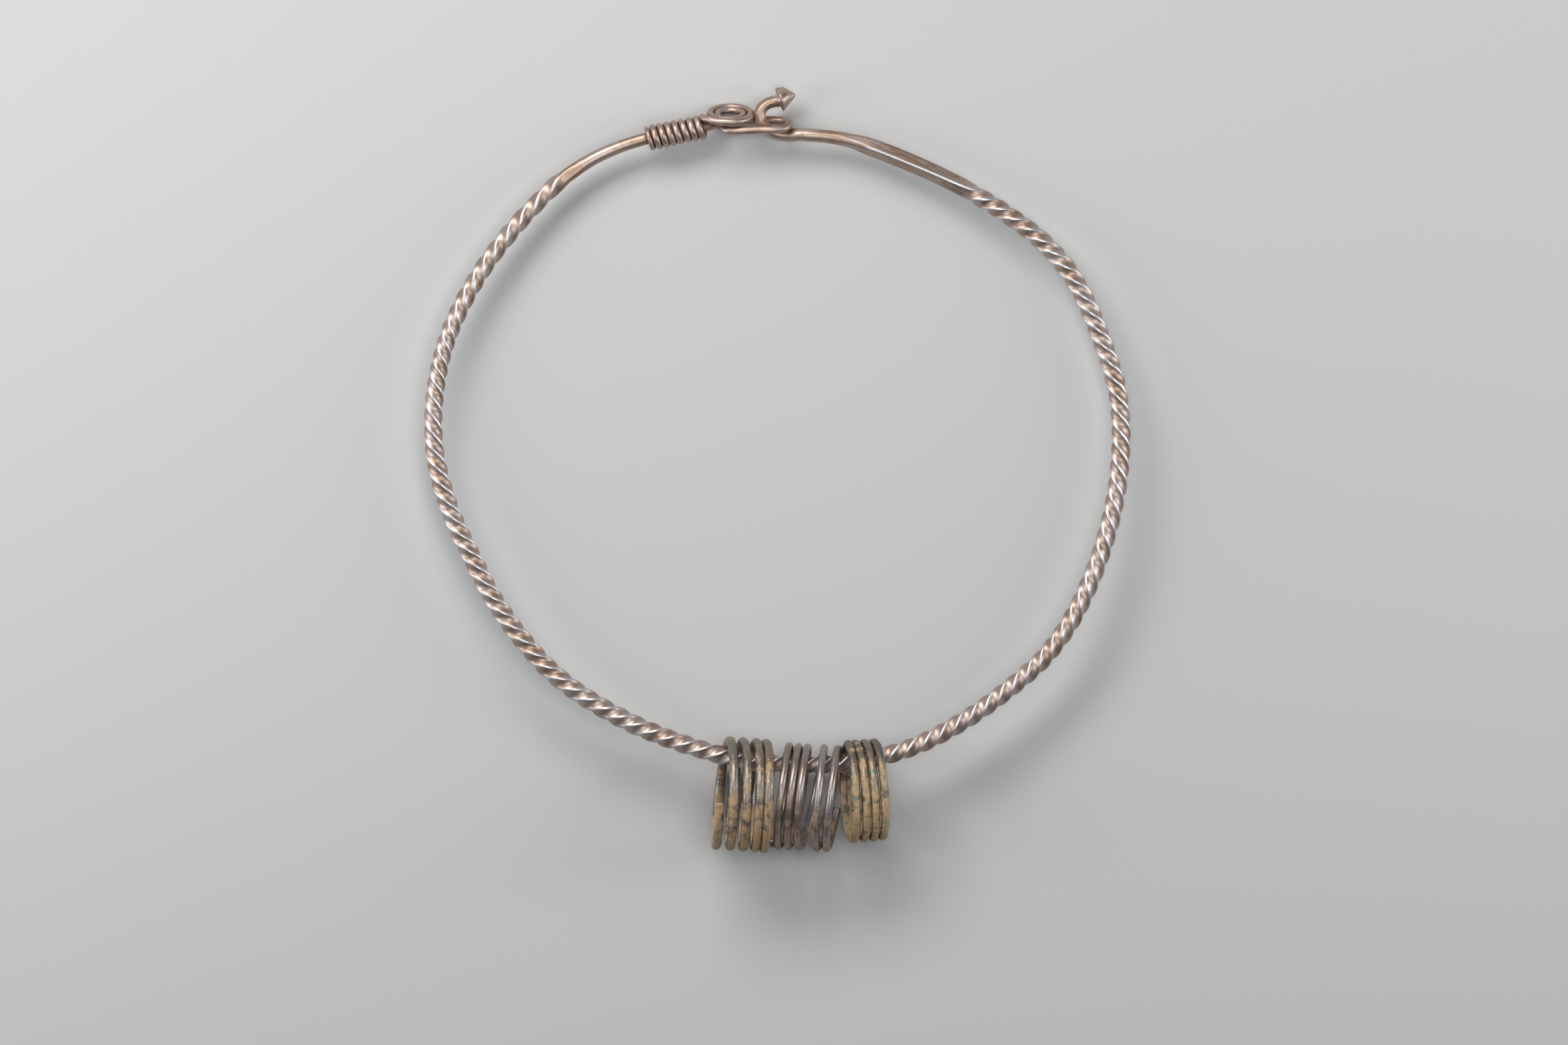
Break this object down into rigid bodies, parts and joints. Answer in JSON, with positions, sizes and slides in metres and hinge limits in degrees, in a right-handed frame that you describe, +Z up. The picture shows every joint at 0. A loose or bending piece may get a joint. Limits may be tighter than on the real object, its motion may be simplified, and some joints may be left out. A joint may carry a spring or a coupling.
{
  "type": "neck ring with coiled finger rings",
  "caption": "Open neck ring of twisted square silver bar with a knobbed hook, an eye, a flat spiral and a wire-wrapped end, with coiled wire rings threaded on it.",
  "frame": {"origin": "middle of the bounding box, on the surface that the part lies on", "axes": "+Z up with the part lying down, front of the hoop upwards; +Y from the coiled rings towards the clasp; +X to the right seen from above"},
  "size_m": [0.1497, 0.1619, 0.024],
  "materials": {
    "torc_silver": "worn silver, polished ridges, brown tarnish in the hollows",
    "left_coil_silver": "tarnished silver with ochre dirt and specks of green corrosion",
    "middle_coil_silver": "smooth grey silver, brown towards the edges",
    "right_coil_silver": "rough tan crust with green corrosion over grey silver"
  },
  "bodies": {
    "root": {"torc": "torc_silver", "left_coil_ring": "left_coil_silver", "middle_coil_ring": "middle_coil_silver", "right_coil_ring": "right_coil_silver"}
  },
  "joints": []
}
